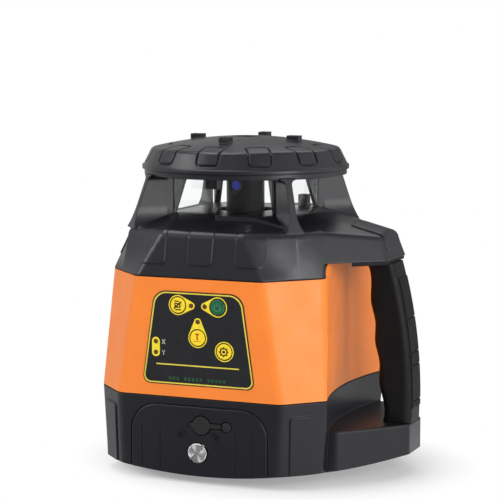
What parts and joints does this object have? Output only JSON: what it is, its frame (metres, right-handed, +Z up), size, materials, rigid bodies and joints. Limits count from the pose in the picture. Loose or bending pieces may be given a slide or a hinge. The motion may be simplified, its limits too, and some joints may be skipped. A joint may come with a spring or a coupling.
{
  "type": "rotary laser level",
  "caption": "Rotary laser level: octagonal housing with finned rotor guard, side grip, front keypad and battery drawer, and a gimballed spinning laser head over a tripod thread.",
  "frame": {"origin": "on the rotor axis, on the plane that the feet and the tripod plate stand on", "axes": "+Z up along the rotor axis, -Y out of the keypad and the battery door, +X towards the handle"},
  "size_m": [0.1886, 0.1539, 0.2068],
  "materials": {
    "black_plastic": "satin",
    "orange_plastic": "satin",
    "cover_plastic": "satin",
    "rubber": "matte",
    "clear_glass": "polished",
    "coated_glass": "polished",
    "keypad": "satin",
    "key_yellow": "satin",
    "key_green": "satin",
    "led_lens": "polished",
    "board": "satin",
    "chips": "matte",
    "cell_wrap": "gloss",
    "steel": "brushed",
    "chrome": "polished",
    "aluminium": "machined",
    "dark_metal": "anodised",
    "brass": "machined",
    "nylon": "satin"
  },
  "bodies": {
    "housing": {"base_housing": "black_plastic", "base_gasket": "rubber", "body_shell": "orange_plastic", "cover_gasket": "rubber", "top_cover": "cover_plastic", "head_cap": "cover_plastic", "top_window": "clear_glass", "cap_screws": "steel", "window_panes": "clear_glass", "remote_sensors": "chips", "handle_grip": "cover_plastic", "grip_pad": "rubber", "grip_screws": "steel", "case_screws": "steel", "rubber_feet": "rubber", "tripod_insert": "brass", "keypad_panel": "keypad", "keypad_board": "board", "indicator_leds": "led_lens", "main_board": "board", "board_parts": "chips", "chassis": "aluminium", "chassis_screws": "steel", "gimbal_pins": "steel", "tilt_motor_x": "steel"},
    "gimbal": {"gimbal_ring": "aluminium", "barrel_pins": "steel", "tilt_motor_y": "steel"},
    "laser_head": {"laser_barrel": "aluminium", "level_vials": "clear_glass", "laser_diode": "brass", "heat_sink": "dark_metal", "collimator_lens": "clear_glass", "rotor_bearings": "steel", "head_motor": "steel", "drive_belt": "rubber"},
    "rotor": {"rotor_head": "dark_metal", "rotor_prism": "clear_glass", "exit_window": "coated_glass", "rotor_pulley": "nylon", "encoder_disc": "dark_metal"},
    "motor_wheel": {"motor_pulley": "nylon"},
    "screw_x": {"tilt_screw_x": "steel"},
    "nut_x": {"tilt_nut_x": "nylon"},
    "screw_y": {"tilt_screw_y": "steel"},
    "nut_y": {"tilt_nut_y": "nylon"},
    "mode_button": {"mode_key": "key_yellow"},
    "power_button": {"power_key": "key_green"},
    "tilt_button": {"tilt_key": "key_yellow"},
    "speed_button": {"speed_key": "key_yellow"},
    "battery_drawer": {"battery_door": "black_plastic", "door_gasket": "rubber", "battery_tray": "chips", "battery_cells": "cell_wrap", "battery_contacts": "steel", "charge_jack": "chips", "plug_anchor": "rubber"},
    "lock": {"lock_screw": "chrome"},
    "plug": {"charge_plug": "rubber"}
  },
  "joints": [
    {"name": "gimbal_tilt_x", "type": "hinge", "parent": "housing", "child": "gimbal", "pos_m": [0, 0, 0.136], "axis": [1, 0, 0], "range_deg": [-5, 5]},
    {"name": "gimbal_tilt_y", "type": "hinge", "parent": "gimbal", "child": "laser_head", "pos_m": [0, 0, 0.136], "axis": [0, 1, 0], "range_deg": [-5, 5]},
    {"name": "rotor_spin", "type": "hinge", "parent": "laser_head", "child": "rotor", "pos_m": [0, 0, 0.165], "axis": [0, 0, 1], "continuous": true},
    {"name": "motor_wheel_spin", "type": "hinge", "parent": "laser_head", "child": "motor_wheel", "pos_m": [-0.026, 0, 0.148], "axis": [0, 0, 1], "continuous": true},
    {"name": "screw_x_spin", "type": "hinge", "parent": "housing", "child": "screw_x", "pos_m": [0, -0.048, 0.136], "axis": [0, 0, 1], "range_deg": [-400, 400]},
    {"name": "nut_x_slide", "type": "slide", "parent": "housing", "child": "nut_x", "axis": [0, 0, 1], "range_m": [-0.0045, 0.0045]},
    {"name": "screw_y_spin", "type": "hinge", "parent": "gimbal", "child": "screw_y", "pos_m": [0.024, 0, 0.136], "axis": [0, 0, 1], "range_deg": [-200, 200]},
    {"name": "nut_y_slide", "type": "slide", "parent": "gimbal", "child": "nut_y", "axis": [0, 0, 1], "range_m": [-0.0023, 0.0023]},
    {"name": "mode_key_press", "type": "slide", "parent": "housing", "child": "mode_button", "axis": [0, 1, 0], "range_m": [0, 0.0006], "stiffness_N_per_m": 400},
    {"name": "power_key_press", "type": "slide", "parent": "housing", "child": "power_button", "axis": [0, 1, 0], "range_m": [0, 0.0006], "stiffness_N_per_m": 400},
    {"name": "tilt_key_press", "type": "slide", "parent": "housing", "child": "tilt_button", "axis": [0, 1, 0], "range_m": [0, 0.0006], "stiffness_N_per_m": 400},
    {"name": "speed_key_press", "type": "slide", "parent": "housing", "child": "speed_button", "axis": [0, 1, 0], "range_m": [0, 0.0006], "stiffness_N_per_m": 400},
    {"name": "battery_drawer_slide", "type": "slide", "parent": "housing", "child": "battery_drawer", "axis": [0, -1, 0], "range_m": [0, 0.06]},
    {"name": "lock_turn", "type": "hinge", "parent": "battery_drawer", "child": "lock", "pos_m": [0, -0.0765, 0.0192], "axis": [0, 1, 0], "range_deg": [0, 90]},
    {"name": "charge_plug_swing", "type": "hinge", "parent": "battery_drawer", "child": "plug", "pos_m": [0.0142, -0.07545, 0.0359], "axis": [0, 0, 1], "range_deg": [0, 100]}
  ],
  "couplings": [
    {"joint": "motor_wheel_spin", "follows": "rotor_spin", "ratio": 3.093},
    {"joint": "nut_x_slide", "follows": "gimbal_tilt_x", "m_per_rad": -0.048},
    {"joint": "screw_x_spin", "follows": "gimbal_tilt_x", "ratio": 75.398},
    {"joint": "nut_y_slide", "follows": "gimbal_tilt_y", "m_per_rad": -0.024},
    {"joint": "screw_y_spin", "follows": "gimbal_tilt_y", "ratio": 37.699}
  ]
}
